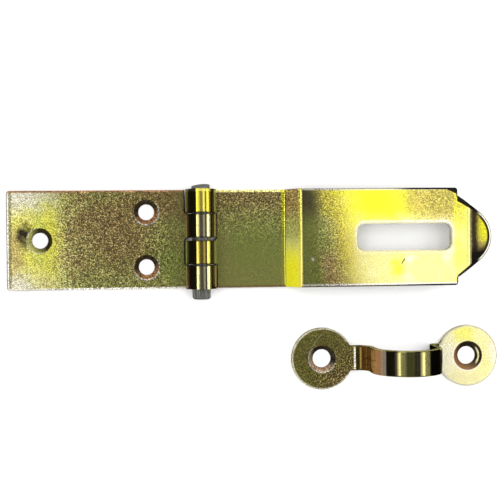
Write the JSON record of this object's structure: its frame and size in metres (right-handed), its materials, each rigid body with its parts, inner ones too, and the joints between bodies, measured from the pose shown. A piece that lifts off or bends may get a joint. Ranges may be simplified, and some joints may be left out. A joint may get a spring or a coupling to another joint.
{
  "type": "hasp and staple",
  "caption": "Hinged sheet-steel strap hasp with a raised slotted strap, a pinned knuckle hinge and a separate round-loop staple that takes a padlock.",
  "frame": {"origin": "back face of the fixed leaf, midway between the two screw holes beside the hinge", "axes": "+X along the hasp from the fixed leaf to the lift tab, +Y across it along the hinge pin, +Z away from the mounting surface"},
  "size_m": [0.1283, 0.0542, 0.0166],
  "materials": {
    "yellow_zinc": "yellow-chromated zinc plate, satin",
    "pin_steel": "plain dark steel, drawn"
  },
  "bodies": {
    "leaf": {"fixed_leaf": "yellow_zinc", "hinge_pin": "pin_steel", "staple": "yellow_zinc"},
    "strap": {"hasp_strap": "yellow_zinc"}
  },
  "joints": [
    {"name": "strap_swing", "type": "hinge", "parent": "leaf", "child": "strap", "pos_m": [0.014, 0, 0.00391], "axis": [0, -1, 0], "range_deg": [0, 175]}
  ]
}
